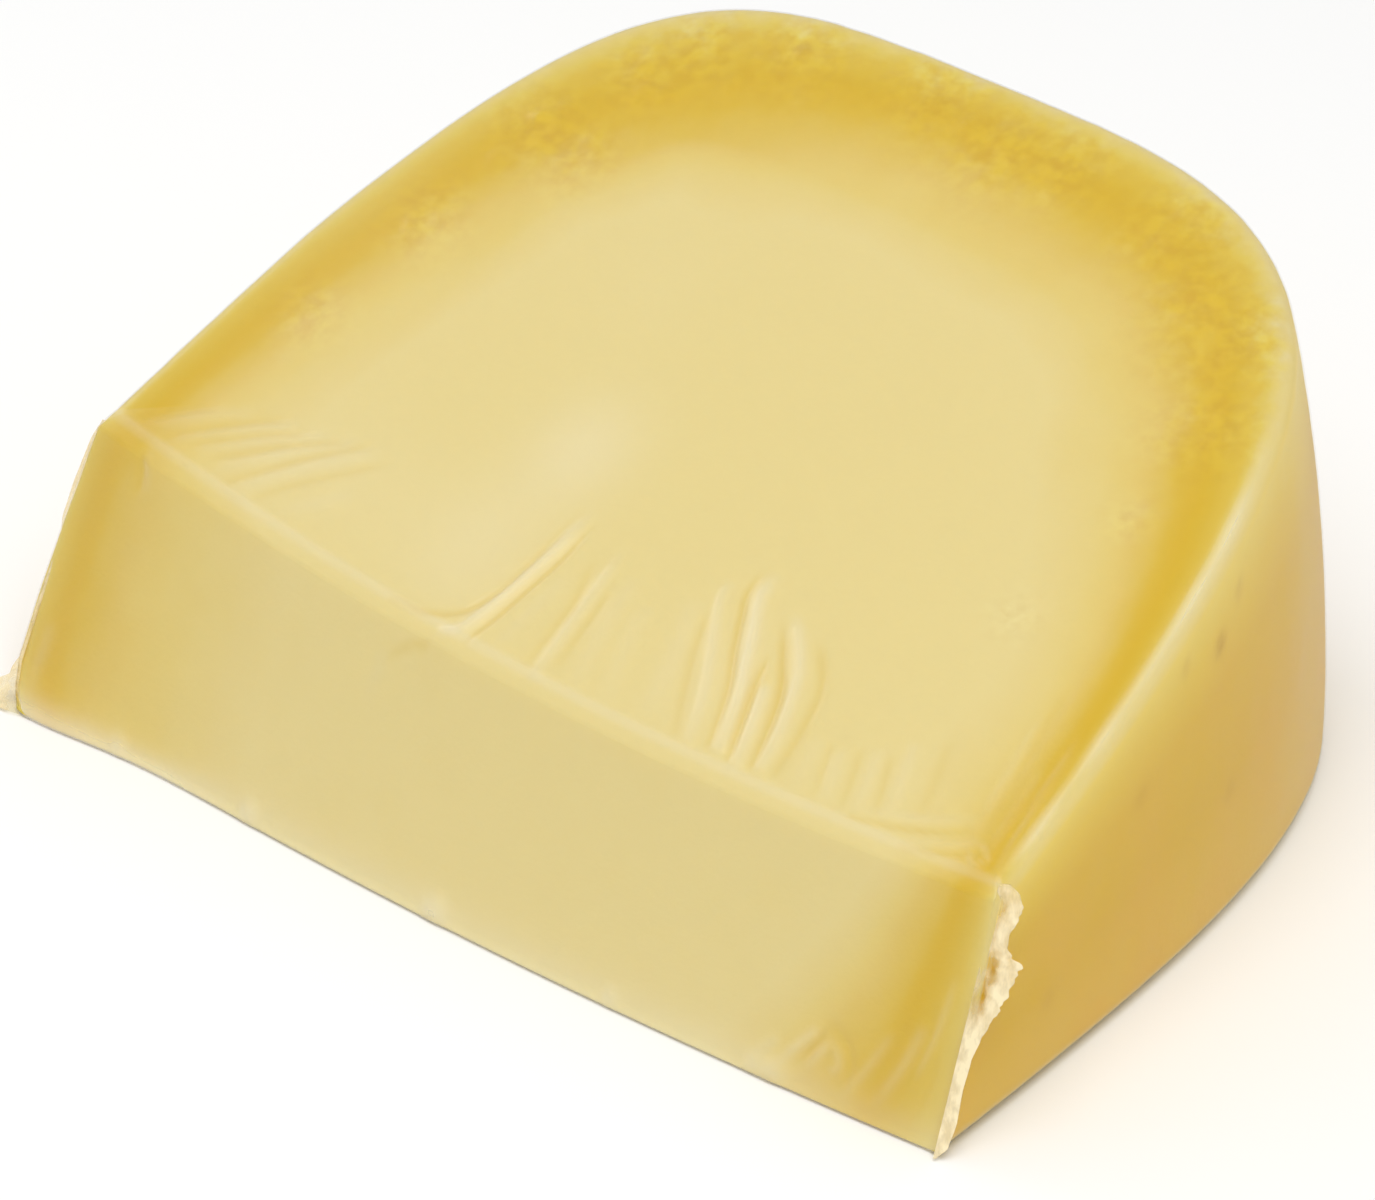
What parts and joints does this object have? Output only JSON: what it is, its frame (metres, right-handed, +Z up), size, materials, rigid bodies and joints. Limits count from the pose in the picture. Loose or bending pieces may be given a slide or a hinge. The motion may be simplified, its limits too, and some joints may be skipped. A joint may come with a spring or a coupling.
{
  "type": "gouda cheese piece",
  "caption": "Thick wedge piece of pale yellow semi-hard cheese with its nose cut off, lying on its cut side, sealed in clear shrink film with fine folds and side seams.",
  "frame": {"origin": "under the middle of the sealed piece, on the surface it lies on", "axes": "+X along the wheel's axis, which is the piece's length, +Y from the cut nose to the round rim, +Z up"},
  "size_m": [0.1223, 0.097, 0.0552],
  "materials": {
    "cheese": "soft pale yellow cheese, golden near the rind, under glossy clear film",
    "clear_film": "thin clear glossy shrink film, milky where it is folded or welded"
  },
  "bodies": {
    "root": {"gouda_in_film": "cheese"}
  },
  "joints": []
}
